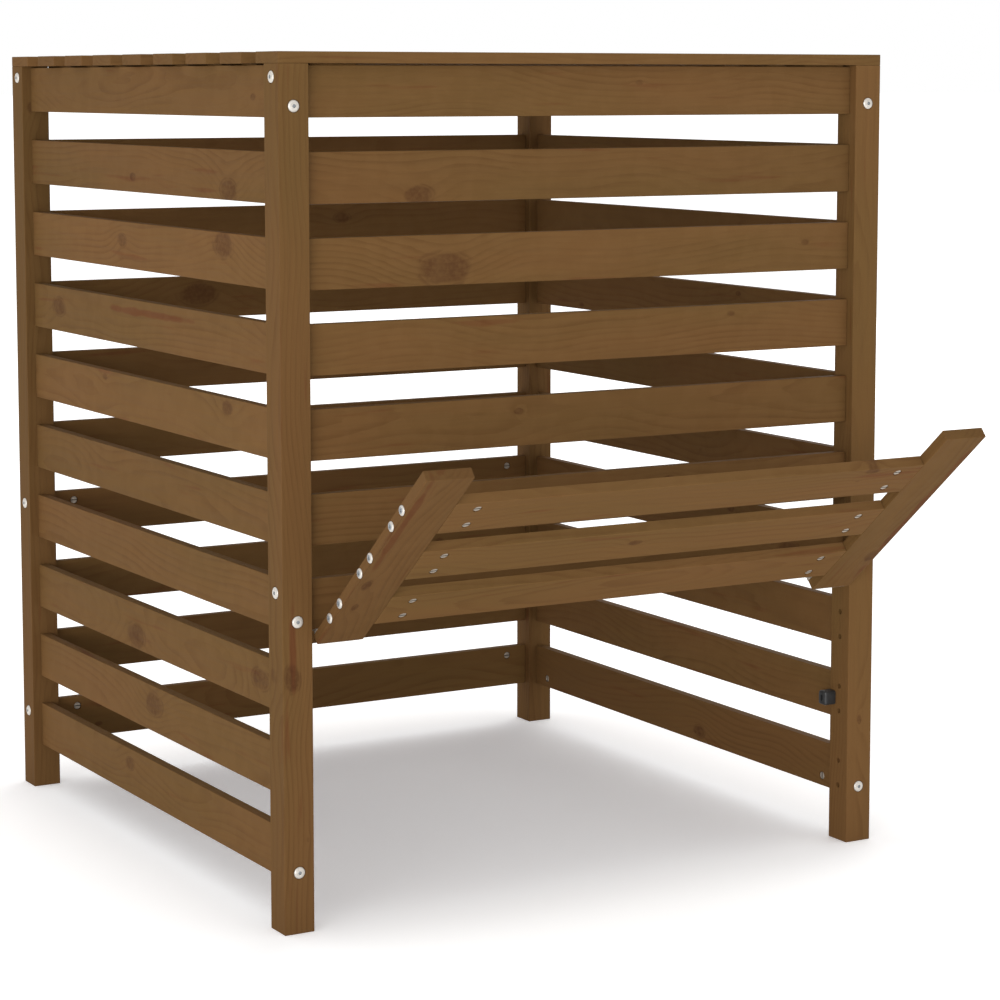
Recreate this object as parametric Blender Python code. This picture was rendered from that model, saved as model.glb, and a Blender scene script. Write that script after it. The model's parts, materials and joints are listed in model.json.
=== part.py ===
"""Wooden compost bin with a slatted lid and a hinged emptying flap.

Four posts carry slatted panels on all sides. The lowest rows of the front are left
out, and a flap made of the same slats, hung on two butt hinges, closes that opening.
The lid is a grid of the same slats on two battens, hinged to the rear posts.
Lengths are in metres. X runs to the right, Y to the back and Z up.
"""

from math import cos, pi, radians, sin

import bmesh
import bpy
from mathutils import Matrix, Vector

# Overall size and the posts
bin_width = 0.826
bin_depth = 0.826
post_size = 0.037
post_above_top_row = 0.0017

# The slats, one stock size for panels, flap and lid
slat_width = 0.058
slat_thickness = 0.013
eased_edge = 0.001
row_count = 10
row_pitch = 0.096
ground_gap = 0.058
opening_rows = 3

# Clearances, between faces that rest on each other and around pins and bolts
seat_gap = 0.0003
fit_gap = 0.0003

# Holes for the glued-in dowels and for the bolts with their barrel nuts
hole_spacing = 0.032
dowel_diameter = 0.006
dowel_end_gap = 0.0005
wall_between_holes = 0.002
bolted_rows = (1, 7, 10)
bolt_diameter = 0.006
nut_diameter = 0.010
nut_setback = 0.0315
wall_behind_nut = 0.0015

# The flap that closes the emptying opening
flap_side_gap = 0.0035
flap_top_gap = 0.004
flap_ground_gap = 0.0045
flap_photo_angle = 130.0

# The plastic catch that the flap closes against
catch_width = 0.0165
catch_depth = 0.0155
catch_height = 0.018
catch_rounding = 0.003
catch_slot_width = 0.004
catch_slot_travel = 0.005
catch_slot_depth = 0.009

# Butt hinges, two on the flap and two on the lid
knuckle_radius = 0.0037
knuckle_gap = 0.0004
hinge_pin_diameter = 0.003
pin_head_diameter = 0.0046
pin_head_top = 0.0028
pin_head_height = 0.0008
hinge_screw_hole = 0.0034
leaf_separation = 0.0006
plate_inset = 0.0002
lid_hinge_length = 0.026
lid_hinge_lower_leaf = 0.026

# The lid
lid_plank_count = 9
lid_batten_inset = 0.060
lid_batten_end_gap = 0.005

# Places that follow from the sizes
half_spacing = hole_spacing / 2
post_centre = post_size / 2
slat_face = post_centre - slat_thickness / 2
span_x = bin_width - 2 * post_size
span_y = bin_depth - 2 * post_size
top_of_rows = ground_gap + (row_count - 1) * row_pitch + slat_width
post_height = top_of_rows + post_above_top_row
last_front_row = row_count - opening_rows
bolt_hole = bolt_diameter + 2 * fit_gap
dowel_hole = dowel_diameter + 2 * fit_gap
dowel_hole_depth = post_centre - max(bolt_hole, dowel_hole) / 2 - wall_between_holes
dowel_reach = dowel_hole_depth - dowel_end_gap
lid_underside = post_height + seat_gap
leaf_thickness = (flap_top_gap - leaf_separation) / 2 - seat_gap
axis_stand_off = knuckle_radius + seat_gap
knuckle_root = knuckle_radius + knuckle_gap
flap_hinge_length = slat_width - 0.008


def row_centre(row):
    """Height of a row's middle, with row 1 at the top."""
    return ground_gap + slat_width / 2 + (row_count - row) * row_pitch


opening_top = row_centre(last_front_row) - slat_width / 2
flap_axis = Vector((bin_width / 2, slat_face - axis_stand_off, opening_top - flap_top_gap / 2))
upright_top = opening_top - flap_top_gap
upright_middle = (upright_top + flap_ground_gap) / 2
upright_x = post_size + flap_side_gap + slat_width / 2
flap_slat_length = bin_width - 2 * (upright_x + slat_width / 2 + fit_gap)
lid_axis = Vector((bin_width / 2, bin_depth + axis_stand_off, (post_height + lid_underside) / 2))

# The raised flap reaches furthest forward with the inner corner of its uprights, and
# the origin lies on the ground under the middle of the whole box in that position.
flap_corner = Vector((0, slat_face + slat_thickness, flap_ground_gap)) - flap_axis
flap_corner.rotate(Matrix.Rotation(radians(-flap_photo_angle), 3, "X"))
front_reach = flap_axis.y + flap_corner.y
back_reach = lid_axis.y + knuckle_radius
origin_depth = (front_reach + back_reach) / 2


def clear_scene():
    for item in list(bpy.data.objects):
        bpy.data.objects.remove(item, do_unlink=True)


def make_material(name, colour, roughness, metallic=0.0):
    material = bpy.data.materials.new(name)
    material.use_nodes = True
    shader = material.node_tree.nodes["Principled BSDF"]
    shader.inputs["Base Color"].default_value = (*colour, 1.0)
    shader.inputs["Roughness"].default_value = roughness
    shader.inputs["Metallic"].default_value = metallic
    return material


def add_prism(bm, first, last):
    """A closed prism between two outlines that have the same number of points."""
    start = [bm.verts.new(point) for point in first]
    end = [bm.verts.new(point) for point in last]
    bm.faces.new(start)
    bm.faces.new(reversed(end))
    for index in range(len(start)):
        after = (index + 1) % len(start)
        bm.faces.new((start[after], start[index], end[index], end[after]))


def add_bar(bm, low, high, along):
    """Planed timber between two corners, its length along one axis, its long edges eased."""
    first = (along + 1) % 3
    second = (along + 2) % 3
    outline = []
    for at_first, at_second in ((low, low), (high, low), (high, high), (low, high)):
        corner = Vector(low)
        corner[first] = at_first[first]
        corner[second] = at_second[second]
        on_first = corner.copy()
        on_first[second] += eased_edge if at_second is low else -eased_edge
        on_second = corner.copy()
        on_second[first] += eased_edge if at_first is low else -eased_edge
        same = at_first is at_second
        outline.extend((on_first, on_second) if same else (on_second, on_first))
    length = Vector((0, 0, 0))
    length[along] = high[along] - low[along]
    add_prism(bm, outline, [point + length for point in outline])


def circle(centre, along, radius, sides):
    """Points of a polygon about a centre, square to a direction."""
    along = Vector(along).normalized()
    up = Vector((0, 0, 1)) if abs(along.z) < 0.5 else Vector((1, 0, 0))
    side = along.cross(up)
    angles = [2 * pi * step / sides for step in range(sides)]
    return [Vector(centre) + (up * cos(angle) + side * sin(angle)) * radius for angle in angles]


def add_rod(bm, start, end, diameter, sides):
    """Round stock from one point to another."""
    along = Vector(end) - Vector(start)
    add_prism(bm, circle(start, along, diameter / 2, sides), circle(end, along, diameter / 2, sides))


def to_mesh(name, bm):
    bmesh.ops.recalc_face_normals(bm, faces=bm.faces)
    mesh = bpy.data.meshes.new(name)
    bm.to_mesh(mesh)
    bm.free()
    return mesh


def combine(name, base, joined=None, cut=None):
    """A mesh with another joined to it and a third cut from it."""
    item = bpy.data.objects.new(name, base)
    helpers = [item]
    for mesh, operation in ((joined, "UNION"), (cut, "DIFFERENCE")):
        if mesh is None:
            continue
        helper = bpy.data.objects.new(f"{name}_{operation.lower()}", mesh)
        modifier = item.modifiers.new(operation, "BOOLEAN")
        modifier.operation = operation
        modifier.solver = "EXACT"
        modifier.object = helper
        helpers.append(helper)
    for helper in helpers:
        bpy.context.scene.collection.objects.link(helper)
    evaluated = item.evaluated_get(bpy.context.evaluated_depsgraph_get())
    result = bpy.data.meshes.new_from_object(evaluated)
    result.name = name
    for helper in helpers:
        bpy.data.objects.remove(helper, do_unlink=True)
    return result


def place(name, mesh, material, parent, location=(0, 0, 0), turn=0.0, smooth=False):
    if smooth:
        mesh.shade_smooth()
        mesh.set_sharp_from_angle(angle=radians(35))
    item = bpy.data.objects.new(name, mesh)
    item.data.materials.clear()
    item.data.materials.append(material)
    item.location = location
    item.rotation_euler = (0, 0, turn)
    item.parent = parent
    bpy.context.scene.collection.objects.link(item)


def make_empty(name, location, parent=None, rotation=(0, 0, 0)):
    empty = bpy.data.objects.new(name, None)
    empty.location = location
    empty.rotation_euler = rotation
    empty.parent = parent
    bpy.context.scene.collection.objects.link(empty)
    return empty


def slat_mesh(name, length, dowel_heights, bolt_heights):
    """A slat along X with its inner face towards +Y. Dowels stand out of its ends, and
    bolt holes run in from the ends to the bores of the barrel nuts in the inner face."""
    half = Vector((length, slat_thickness, slat_width)) / 2
    bm = bmesh.new()
    add_bar(bm, -half, half, 0)
    dowels = bmesh.new()
    holes = bmesh.new()
    bores = bmesh.new()
    for end in (-1, 1):
        for height in dowel_heights:
            start = (end * (half.x - dowel_reach), 0, height)
            tip = (end * (half.x + fit_gap + dowel_reach), 0, height)
            add_rod(dowels, start, tip, dowel_diameter, 6)
        nut_x = end * (half.x - nut_setback)
        for height in bolt_heights:
            mouth = (end * (half.x + 0.005), 0, height)
            add_rod(holes, mouth, (nut_x, 0, height), bolt_hole, 8)
            bottom = (nut_x, wall_behind_nut - half.y, height)
            add_rod(bores, bottom, (nut_x, half.y + 0.005, height), nut_diameter + 2 * fit_gap, 10)
    drilling = combine("drilling", to_mesh("holes", holes), joined=to_mesh("bores", bores))
    return combine(
        name,
        to_mesh(name, bm),
        joined=to_mesh("dowels", dowels) if dowel_heights else None,
        cut=drilling if bolt_heights else None,
    )


def post_mesh(name, to_x, to_y, front):
    """A post over the middle of its foot, drilled for the slats of both its panels. The
    bolts of the two directions lie on either side of the slats' middle and pass each other."""
    half = post_size / 2
    bm = bmesh.new()
    add_bar(bm, Vector((-half, -half, 0)), Vector((half, half, post_height)), 2)
    holes = bmesh.new()
    outside = half + 0.005
    for row in range(1, row_count + 1):
        for direction, bolt_side in ((Vector((to_x, 0, 0)), 1), (Vector((0, to_y, 0)), -1)):
            left_empty = front and direction.x != 0 and row > last_front_row
            for side in (-1, 1):
                height = Vector((0, 0, row_centre(row) + side * half_spacing))
                bolted = row in bolted_rows and side == bolt_side and not left_empty
                start = -outside if bolted else half - dowel_hole_depth
                diameter = bolt_hole if bolted else dowel_hole
                sides = 8 if bolted or left_empty else 6
                add_rod(holes, height + direction * start, height + direction * outside, diameter, sides)
    return combine(name, to_mesh(name, bm), cut=to_mesh("holes", holes))


def upright_mesh():
    """A flap upright, bored across its width for the bolts of the flap's slats."""
    half = Vector((slat_width, slat_thickness, upright_top - flap_ground_gap)) / 2
    bm = bmesh.new()
    add_bar(bm, -half, half, 2)
    holes = bmesh.new()
    outside = half.x + 0.005
    for row in range(last_front_row + 1, row_count + 1):
        for side in (-1, 1):
            height = row_centre(row) + side * half_spacing - upright_middle
            add_rod(holes, (-outside, 0, height), (outside, 0, height), bolt_hole, 8)
    return combine("upright", to_mesh("upright", bm), cut=to_mesh("holes", holes))


def knuckle_spans(length):
    """Where the two outer knuckles and the middle one lie along a hinge."""
    quarter = length / 4
    outer = ((-length / 2, -quarter), (quarter, length / 2))
    middle = ((knuckle_gap - quarter, quarter - knuckle_gap),)
    return outer, middle


def leaf_mesh(name, length, spans, width, near, far, screw_line):
    """A hinge leaf about an axis along X. Its plate reaches along +Y between two heights
    over the axis, and stands clear of the other leaf's knuckles."""
    outline = []
    if spans[0][0] > -length / 2:
        outline.append((-length / 2, knuckle_root))
    for start, end in spans:
        if start > -length / 2:
            outline.append((start, knuckle_root))
        outline.extend([(start, 0), (end, 0)])
        if end < length / 2:
            outline.append((end, knuckle_root))
    if spans[-1][1] < length / 2:
        outline.append((length / 2, knuckle_root))
    outline.extend([(length / 2, width), (-length / 2, width)])
    plate = bmesh.new()
    add_prism(plate, [Vector((*point, near)) for point in outline], [Vector((*point, far)) for point in outline])
    knuckles = bmesh.new()
    for start, end in spans:
        add_rod(knuckles, (start, 0, 0), (end, 0, 0), 2 * knuckle_radius, 12)
    holes = bmesh.new()
    add_rod(holes, (-length, 0, 0), (length, 0, 0), hinge_pin_diameter + 2 * fit_gap, 12)
    for x in (-length * 0.3, length * 0.3):
        add_rod(holes, (x, screw_line, near - 0.001), (x, screw_line, far + 0.001), hinge_screw_hole, 6)
    return combine(name, to_mesh(name, plate), to_mesh("knuckles", knuckles), to_mesh("holes", holes))


def pin_mesh(length):
    """A hinge pin along X, peened to a head at both ends."""
    inner = length / 2 + fit_gap
    outer = inner + pin_head_height
    head = pin_head_diameter / 2
    shank = hinge_pin_diameter / 2
    half_profile = ((inner, shank), (inner, head), (outer, pin_head_top / 2))
    profile = [(-x, radius) for x, radius in reversed(half_profile)] + list(half_profile)
    bm = bmesh.new()
    rings = []
    for x, radius in profile:
        rings.append([bm.verts.new(point) for point in circle((x, 0, 0), (1, 0, 0), radius, 12)])
    bm.faces.new(rings[0])
    bm.faces.new(rings[-1])
    for ring, after in zip(rings, rings[1:]):
        for index in range(12):
            other = (index + 1) % 12
            bm.faces.new((ring[index], ring[other], after[other], after[index]))
    return to_mesh("pin", bm)


def catch_mesh():
    """A block screwed to a post at X = 0, its free edges rounded, with a slot for the screw."""
    low = Vector((-catch_width, 0, -catch_height / 2))
    size = Vector((catch_width - seat_gap, catch_depth, catch_height))
    bm = bmesh.new()
    bmesh.ops.create_cube(bm, size=1, matrix=Matrix.Translation(low + size / 2) @ Matrix.Diagonal((*size, 1)))
    free = [edge for edge in bm.edges if any(vert.co.x < -catch_width / 2 for vert in edge.verts)]
    bmesh.ops.bevel(bm, geom=free, offset=catch_rounding, segments=3, profile=0.5, affect="EDGES")
    outline = []
    for step in range(12):
        angle = 2 * pi * (step + 0.5) / 12
        lift = catch_slot_travel / 2 if step < 6 else -catch_slot_travel / 2
        across = catch_slot_width / 2 * cos(angle)
        outline.append(Vector((0, catch_depth / 2 + across, lift + catch_slot_width / 2 * sin(angle))))
    mouth = Vector((-catch_width - 0.001, 0, 0))
    bottom = Vector((catch_slot_depth - catch_width, 0, 0))
    slot = bmesh.new()
    add_prism(slot, [point + mouth for point in outline], [point + bottom for point in outline])
    return combine("catch", to_mesh("block", bm), cut=to_mesh("slot", slot))


def lid_mesh():
    """Planks across two battens, placed about the lid's hinge axis."""
    planks = bmesh.new()
    pitch = (bin_depth - slat_width) / (lid_plank_count - 1)
    for number in range(lid_plank_count):
        low = Vector((0, number * pitch, lid_underside)) - lid_axis
        add_bar(planks, low, low + Vector((bin_width, slat_width, slat_thickness)), 0)
    battens = bmesh.new()
    start = slat_face + slat_thickness + lid_batten_end_gap
    for x in (lid_batten_inset, bin_width - lid_batten_inset - slat_width):
        low = Vector((x, start, lid_underside - slat_thickness)) - lid_axis
        high = Vector((x + slat_width, bin_depth - start, lid_underside)) - lid_axis
        add_bar(battens, low, high, 1)
    return combine("lid", to_mesh("planks", planks), joined=to_mesh("battens", battens))


def build():
    clear_scene()
    origin = make_empty("compost_bin", (-bin_width / 2, -origin_depth, 0))
    flap = make_empty("flap_turn", flap_axis, origin, (radians(-flap_photo_angle), 0, 0))
    lid = make_empty("lid_turn", lid_axis, origin)
    middle_x = bin_width / 2
    middle_y = bin_depth / 2

    wood = make_material("stained_pine", (0.178, 0.095, 0.036), 0.75)
    steel = make_material("zinc_plated_steel", (0.62, 0.61, 0.59), 0.38, 1.0)
    plastic = make_material("dark_plastic", (0.024, 0.026, 0.027), 0.5)

    # Posts
    for side, x, to_x in (("left", post_centre, 1), ("right", bin_width - post_centre, -1)):
        for end, y, to_y in (("front", post_centre, 1), ("rear", bin_depth - post_centre, -1)):
            name = f"{end}_{side}_post"
            place(name, post_mesh(name, to_x, to_y, end == "front"), wood, origin, (x, y, 0))

    # Slats of the four panels, each panel's bolts on its own side of the slats' middle
    across = (("front", middle_x, post_centre, 0), ("back", middle_x, bin_depth - post_centre, pi))
    along = (("left", post_centre, middle_y, -pi / 2), ("right", bin_width - post_centre, middle_y, pi / 2))
    for span, bolt_height, panels in ((span_x, half_spacing, across), (span_y, -half_spacing, along)):
        length = span - 2 * fit_gap
        plain = slat_mesh("slat", length, (-half_spacing, half_spacing), ())
        bolted = slat_mesh("bolted_slat", length, (-bolt_height,), (bolt_height,))
        for panel, x, y, turn in panels:
            rows = last_front_row if panel == "front" else row_count
            for row in range(1, rows + 1):
                mesh = (bolted if row in bolted_rows else plain).copy()
                place(f"{panel}_slat_{row}", mesh, wood, origin, (x, y, row_centre(row)), turn)

    # Flap, modelled closed and turned about its hinge axis by its parent
    for side, x in (("left", upright_x), ("right", bin_width - upright_x)):
        at = Vector((x, post_centre, upright_middle)) - flap_axis
        place(f"flap_{side}_upright", upright_mesh(), wood, flap, at)
    flap_slat = slat_mesh("flap_slat", flap_slat_length, (), (-half_spacing, half_spacing))
    for number, row in enumerate(range(last_front_row + 1, row_count + 1), 1):
        at = Vector((middle_x, post_centre, row_centre(row))) - flap_axis
        place(f"flap_slat_{number}", flap_slat.copy(), wood, flap, at)

    # Flap hinges, their leaves folded together between row 7 and the tops of the uprights
    outer, middle = knuckle_spans(flap_hinge_length)
    near = leaf_separation / 2
    folded = (axis_stand_off + slat_thickness - eased_edge, near, near + leaf_thickness)
    screws = axis_stand_off + slat_thickness / 2
    fixed = leaf_mesh("flap_fixed_leaf", flap_hinge_length, outer, *folded, screws)
    moving = leaf_mesh("flap_moving_leaf", flap_hinge_length, middle, *folded, screws)
    moving.transform(Matrix.Rotation(pi, 4, "Y"))
    for side, x in (("left", upright_x - middle_x), ("right", middle_x - upright_x)):
        name = f"flap_hinge_{side}"
        at = flap_axis + Vector((x, 0, 0))
        place(f"{name}_fixed_leaf", fixed.copy(), steel, origin, at, smooth=True)
        place(f"{name}_moving_leaf", moving.copy(), steel, flap, (x, 0, 0), smooth=True)
        place(f"{name}_pin", pin_mesh(flap_hinge_length), steel, origin, at, smooth=True)

    # Lid hinges, on the rear faces of the posts and the rear edge of the last plank
    outer, middle = knuckle_spans(lid_hinge_length)
    far = knuckle_radius - plate_inset
    near = far - leaf_thickness
    lower = lid_hinge_lower_leaf
    upper = lid_underside + slat_thickness - eased_edge - lid_axis.z
    fixed = leaf_mesh("lid_fixed_leaf", lid_hinge_length, outer, lower, near, far, (knuckle_root + lower) / 2)
    moving = leaf_mesh("lid_moving_leaf", lid_hinge_length, middle, upper, near, far, (knuckle_root + upper) / 2)
    fixed.transform(Matrix.Rotation(-pi / 2, 4, "X") @ Matrix.Rotation(pi, 4, "Y"))
    moving.transform(Matrix.Rotation(pi / 2, 4, "X"))
    for side, x in (("left", post_centre - middle_x), ("right", middle_x - post_centre)):
        name = f"lid_hinge_{side}"
        at = lid_axis + Vector((x, 0, 0))
        place(f"{name}_fixed_leaf", fixed.copy(), steel, origin, at, smooth=True)
        place(f"{name}_moving_leaf", moving.copy(), steel, lid, (x, 0, 0), smooth=True)
        place(f"{name}_pin", pin_mesh(lid_hinge_length), steel, origin, at, smooth=True)

    # Lid
    place("lid", lid_mesh(), wood, lid)

    # Catch on the right front post, which the closed flap's upright rests against
    at = (bin_width - post_size, slat_face + slat_thickness + seat_gap, row_centre(row_count - 1))
    place("flap_catch", catch_mesh(), plastic, origin, at, smooth=True)


build()
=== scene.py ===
"""The looks of a slatted wooden compost bin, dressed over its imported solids.

The bin is built up as it is on the ground: posts, slats, bolts and barrel nuts, then the
flap with its hinges and catch, and the lid. Lengths are in metres. X runs to the right,
Y to the back and Z up.
"""

import json
import random
from math import cos, pi, radians, sin, sqrt

import bpy
from mathutils import Matrix, Vector


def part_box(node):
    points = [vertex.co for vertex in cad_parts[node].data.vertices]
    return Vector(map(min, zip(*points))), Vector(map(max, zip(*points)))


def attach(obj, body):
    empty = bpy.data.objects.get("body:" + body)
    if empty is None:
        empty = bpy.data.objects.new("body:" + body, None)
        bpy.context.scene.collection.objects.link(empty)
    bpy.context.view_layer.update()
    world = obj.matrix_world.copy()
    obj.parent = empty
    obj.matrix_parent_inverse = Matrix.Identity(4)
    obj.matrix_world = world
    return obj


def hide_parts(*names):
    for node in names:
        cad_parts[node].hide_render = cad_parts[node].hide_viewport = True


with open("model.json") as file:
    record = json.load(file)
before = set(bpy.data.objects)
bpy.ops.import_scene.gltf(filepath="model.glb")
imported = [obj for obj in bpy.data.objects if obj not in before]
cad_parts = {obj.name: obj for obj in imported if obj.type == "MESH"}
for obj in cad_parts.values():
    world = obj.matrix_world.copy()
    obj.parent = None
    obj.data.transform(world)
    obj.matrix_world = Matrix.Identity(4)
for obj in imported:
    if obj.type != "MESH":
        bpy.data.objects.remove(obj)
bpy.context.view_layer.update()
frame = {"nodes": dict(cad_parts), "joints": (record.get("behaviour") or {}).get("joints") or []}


# The camera stands to the left of the bin, a little under the height of its lid, and
# looks along its front with a long lens. Its body is tipped down a few degrees, and the
# lens is shifted down for the rest of the way.

camera_place = Vector((-1.7584, -3.0928, 0.9606))
camera_yaw = radians(30.081)
camera_tip = radians(6.225)
camera_lens = 101.443
camera_shift = -0.11

camera_data = bpy.data.cameras.new("camera")
camera_data.sensor_width = 36
camera_data.lens = camera_lens
camera_data.shift_y = camera_shift
camera = bpy.data.objects.new("camera", camera_data)
camera.location = camera_place
camera.rotation_euler = (pi / 2 - camera_tip, 0, -camera_yaw)
bpy.context.scene.collection.objects.link(camera)
bpy.context.scene.camera = camera


# Pine, sawn from a young trunk, planed and stained honey brown. Rings, knots and fibres
# follow each board's own place in its trunk, so that faces, edges and ends agree. Every
# board carries its own coordinates, its trunk, knots, streak of pitch and rims as attributes.


def socket_named(sockets, key):
    if isinstance(key, int):
        return sockets[key]
    return next(socket for socket in sockets if socket.name == key and socket.enabled)


def add(tree, kind, inputs=None, **settings):
    """A node with its settings made, and its inputs given a value or joined to an output."""
    made = tree.nodes.new(kind)
    for name, value in settings.items():
        setattr(made, name, value)
    for key, value in (inputs or {}).items():
        socket = socket_named(made.inputs, key)
        if isinstance(value, bpy.types.NodeSocket):
            tree.links.new(value, socket)
        else:
            socket.default_value = value
    return made


def calc(tree, operation, *values, clamp=False):
    inputs = dict(enumerate(values))
    return add(tree, "ShaderNodeMath", inputs, operation=operation, use_clamp=clamp).outputs[0]


def vector_calc(tree, operation, *values):
    made = add(tree, "ShaderNodeVectorMath", dict(enumerate(values)), operation=operation)
    return made.outputs["Value" if operation in ("LENGTH", "DOT_PRODUCT") else "Vector"]


def split(tree, vector):
    return add(tree, "ShaderNodeSeparateXYZ", {0: vector}).outputs


def merge(tree, x, y, z):
    return add(tree, "ShaderNodeCombineXYZ", {0: x, 1: y, 2: z}).outputs[0]


def stretched(tree, place, factors):
    """A place with each of its axes scaled."""
    return vector_calc(tree, "MULTIPLY", place, factors)


def distance(tree, along, across):
    """How far a place is from a point, from its way along and its way across."""
    squares = calc(tree, "ADD", calc(tree, "MULTIPLY", along, along), calc(tree, "MULTIPLY", across, across))
    return calc(tree, "SQRT", squares)


def attribute(tree, name):
    return add(tree, "ShaderNodeAttribute", attribute_name=name).outputs["Vector"]


def ramp(tree, value, start, end, low=0.0, high=1.0):
    """A soft step from one value to another."""
    inputs = {"Value": value, "From Min": start, "From Max": end, "To Min": low, "To Max": high}
    return add(tree, "ShaderNodeMapRange", inputs, interpolation_type="SMOOTHSTEP").outputs[0]


def noise(tree, vector, scale, detail=2.0, roughness=0.5):
    inputs = {"Vector": vector, "Scale": scale, "Detail": detail, "Roughness": roughness}
    return add(tree, "ShaderNodeTexNoise", inputs).outputs


def blend(tree, factor, first, second):
    made = add(tree, "ShaderNodeMix", data_type="RGBA")
    for key, value in ((0, factor), (6, first), (7, second)):
        if isinstance(value, bpy.types.NodeSocket):
            tree.links.new(value, made.inputs[key])
        else:
            made.inputs[key].default_value = (*value, 1.0) if key else value
    return made.outputs[2]


def open_tree(name, kind, inputs, outputs):
    """A node group with named sockets, and its two end nodes."""
    tree = bpy.data.node_groups.new(name, kind)
    for label, socket, value in inputs:
        made = tree.interface.new_socket(label, in_out="INPUT", socket_type=f"NodeSocket{socket}")
        if value is not None:
            made.default_value = value
    for label, socket in outputs:
        tree.interface.new_socket(label, in_out="OUTPUT", socket_type=f"NodeSocket{socket}")
    return tree, tree.nodes.new("NodeGroupInput").outputs, tree.nodes.new("NodeGroupOutput").inputs


def new_material(name):
    """A material with its node tree and its main shader."""
    material = bpy.data.materials.new(name)
    material.use_nodes = True
    tree = material.node_tree
    return material, tree, tree.nodes["Principled BSDF"]


def relief(tree, shader, height, strength, depth):
    """Fine relief on a shader, from a height."""
    bump = add(tree, "ShaderNodeBump", {"Strength": strength, "Distance": depth, "Height": height})
    tree.links.new(bump.outputs[0], shader.inputs["Normal"])


def pine_figure():
    """The rings, knots, fibres and clouds of pine, from a board's attributes."""
    knot_stretch = 1.75
    streak_half_width = 0.0052
    least = 0.0001
    sizes = (("Ring Spacing", "Float", 0.0062), ("Fibre Scale", "Float", 240.0))
    masks = [(name, "Float") for name in ("Ring", "Knot", "Fibre", "Cloud", "Resin", "Height")]
    tree, given, out = open_tree("pine_figure", "ShaderNodeTree", sizes, masks)
    own = attribute(tree, "board")
    place = vector_calc(tree, "ADD", own, attribute(tree, "trunk"))
    slow = noise(tree, stretched(tree, place, (1.0, 0.15, 0.15)), 3.0, 1.0)["Color"]
    slow = vector_calc(tree, "SUBTRACT", slow, (0.5, 0.5, 0.5))
    bent = vector_calc(tree, "ADD", place, stretched(tree, slow, (0.0, 0.07, 0.08)))
    radius = vector_calc(tree, "LENGTH", stretched(tree, bent, (0.0, 1.0, 1.0)))

    at = split(tree, own)
    uneven = calc(tree, "SUBTRACT", noise(tree, place, 34.0, 1.0)["Fac"], 0.5)
    uneven = calc(tree, "MULTIPLY", uneven, 0.5)
    mottle = ramp(tree, noise(tree, own, 230.0, 3.0)["Fac"], 0.30, 0.70, 0.52, 0.92)
    bark = ramp(tree, noise(tree, own, 42.0)["Fac"], 0.42, 0.60, 0.0, 0.55)
    hearts = near = 0.0
    for name in ("knot", "second_knot"):
        knot = split(tree, attribute(tree, name))
        along = calc(tree, "DIVIDE", calc(tree, "SUBTRACT", at[0], knot[0]), knot_stretch)
        across = calc(tree, "SUBTRACT", at[2], knot[1])
        size = calc(tree, "MAXIMUM", knot[2], least)
        share = calc(tree, "ADD", calc(tree, "DIVIDE", distance(tree, along, across), size), uneven)
        swell = calc(tree, "EXPONENT", calc(tree, "MULTIPLY", calc(tree, "MULTIPLY", share, share), -0.15))
        radius = calc(tree, "MULTIPLY_ADD", swell, calc(tree, "MULTIPLY", knot[2], 1.3), radius)
        near = calc(tree, "MAXIMUM", near, calc(tree, "MULTIPLY", swell, ramp(tree, knot[2], 0.0, 0.010)))
        heart = calc(tree, "MULTIPLY", ramp(tree, share, 1.12, 0.76), mottle)
        rim = calc(tree, "MULTIPLY", ramp(tree, share, 0.94, 1.06), ramp(tree, share, 1.26, 1.08))
        whole = calc(tree, "MAXIMUM", heart, calc(tree, "MULTIPLY", rim, bark))
        hearts = calc(tree, "MAXIMUM", hearts, calc(tree, "MULTIPLY", whole, ramp(tree, knot[2], 0.0, 0.004)))
    tree.links.new(hearts, out["Knot"])

    shake = noise(tree, stretched(tree, place, (7.0, 80.0, 80.0)), 1.0, 3.0)["Fac"]
    phase = calc(tree, "MULTIPLY_ADD", shake, 0.8, calc(tree, "DIVIDE", radius, given["Ring Spacing"]))
    turn = calc(tree, "FRACT", phase)
    late = calc(tree, "MULTIPLY", ramp(tree, turn, 0.40, 0.90), ramp(tree, turn, 1.0, 0.94))
    strength = noise(tree, stretched(tree, place, (3.5, 35.0, 35.0)), 1.0)["Fac"]
    strength = ramp(tree, strength, 0.34, 0.66, 0.10, 1.0)
    strength = calc(tree, "MAXIMUM", strength, calc(tree, "MULTIPLY", near, 0.8))
    tree.links.new(calc(tree, "MULTIPLY", late, strength), out["Ring"])

    fibre = noise(tree, stretched(tree, place, (0.035, 1.0, 1.0)), given["Fibre Scale"], 3.0, 0.6)["Fac"]
    tree.links.new(fibre, out["Fibre"])
    cloud = noise(tree, stretched(tree, place, (2.2, 9.0, 9.0)), 1.0)["Fac"]
    tree.links.new(cloud, out["Cloud"])
    tree.links.new(calc(tree, "SUBTRACT", fibre, calc(tree, "MULTIPLY", late, 0.6)), out["Height"])

    resin = noise(tree, stretched(tree, place, (6.0, 75.0, 75.0)), 1.0)["Fac"]
    resin = ramp(tree, resin, 0.64, 0.76, 0.0, 0.7)
    streak = split(tree, attribute(tree, "streak"))
    half_length = calc(tree, "MAXIMUM", streak[2], least)
    along = calc(tree, "DIVIDE", calc(tree, "SUBTRACT", at[0], streak[0]), half_length)
    across = calc(tree, "DIVIDE", calc(tree, "SUBTRACT", at[2], streak[1]), streak_half_width)
    share = calc(tree, "MULTIPLY_ADD", uneven, 2.6, distance(tree, along, across))
    smear = calc(tree, "MULTIPLY", ramp(tree, share, 1.10, 0.60), ramp(tree, streak[2], 0.0, 0.010))
    tree.links.new(calc(tree, "MAXIMUM", resin, smear), out["Resin"])
    return tree


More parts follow.
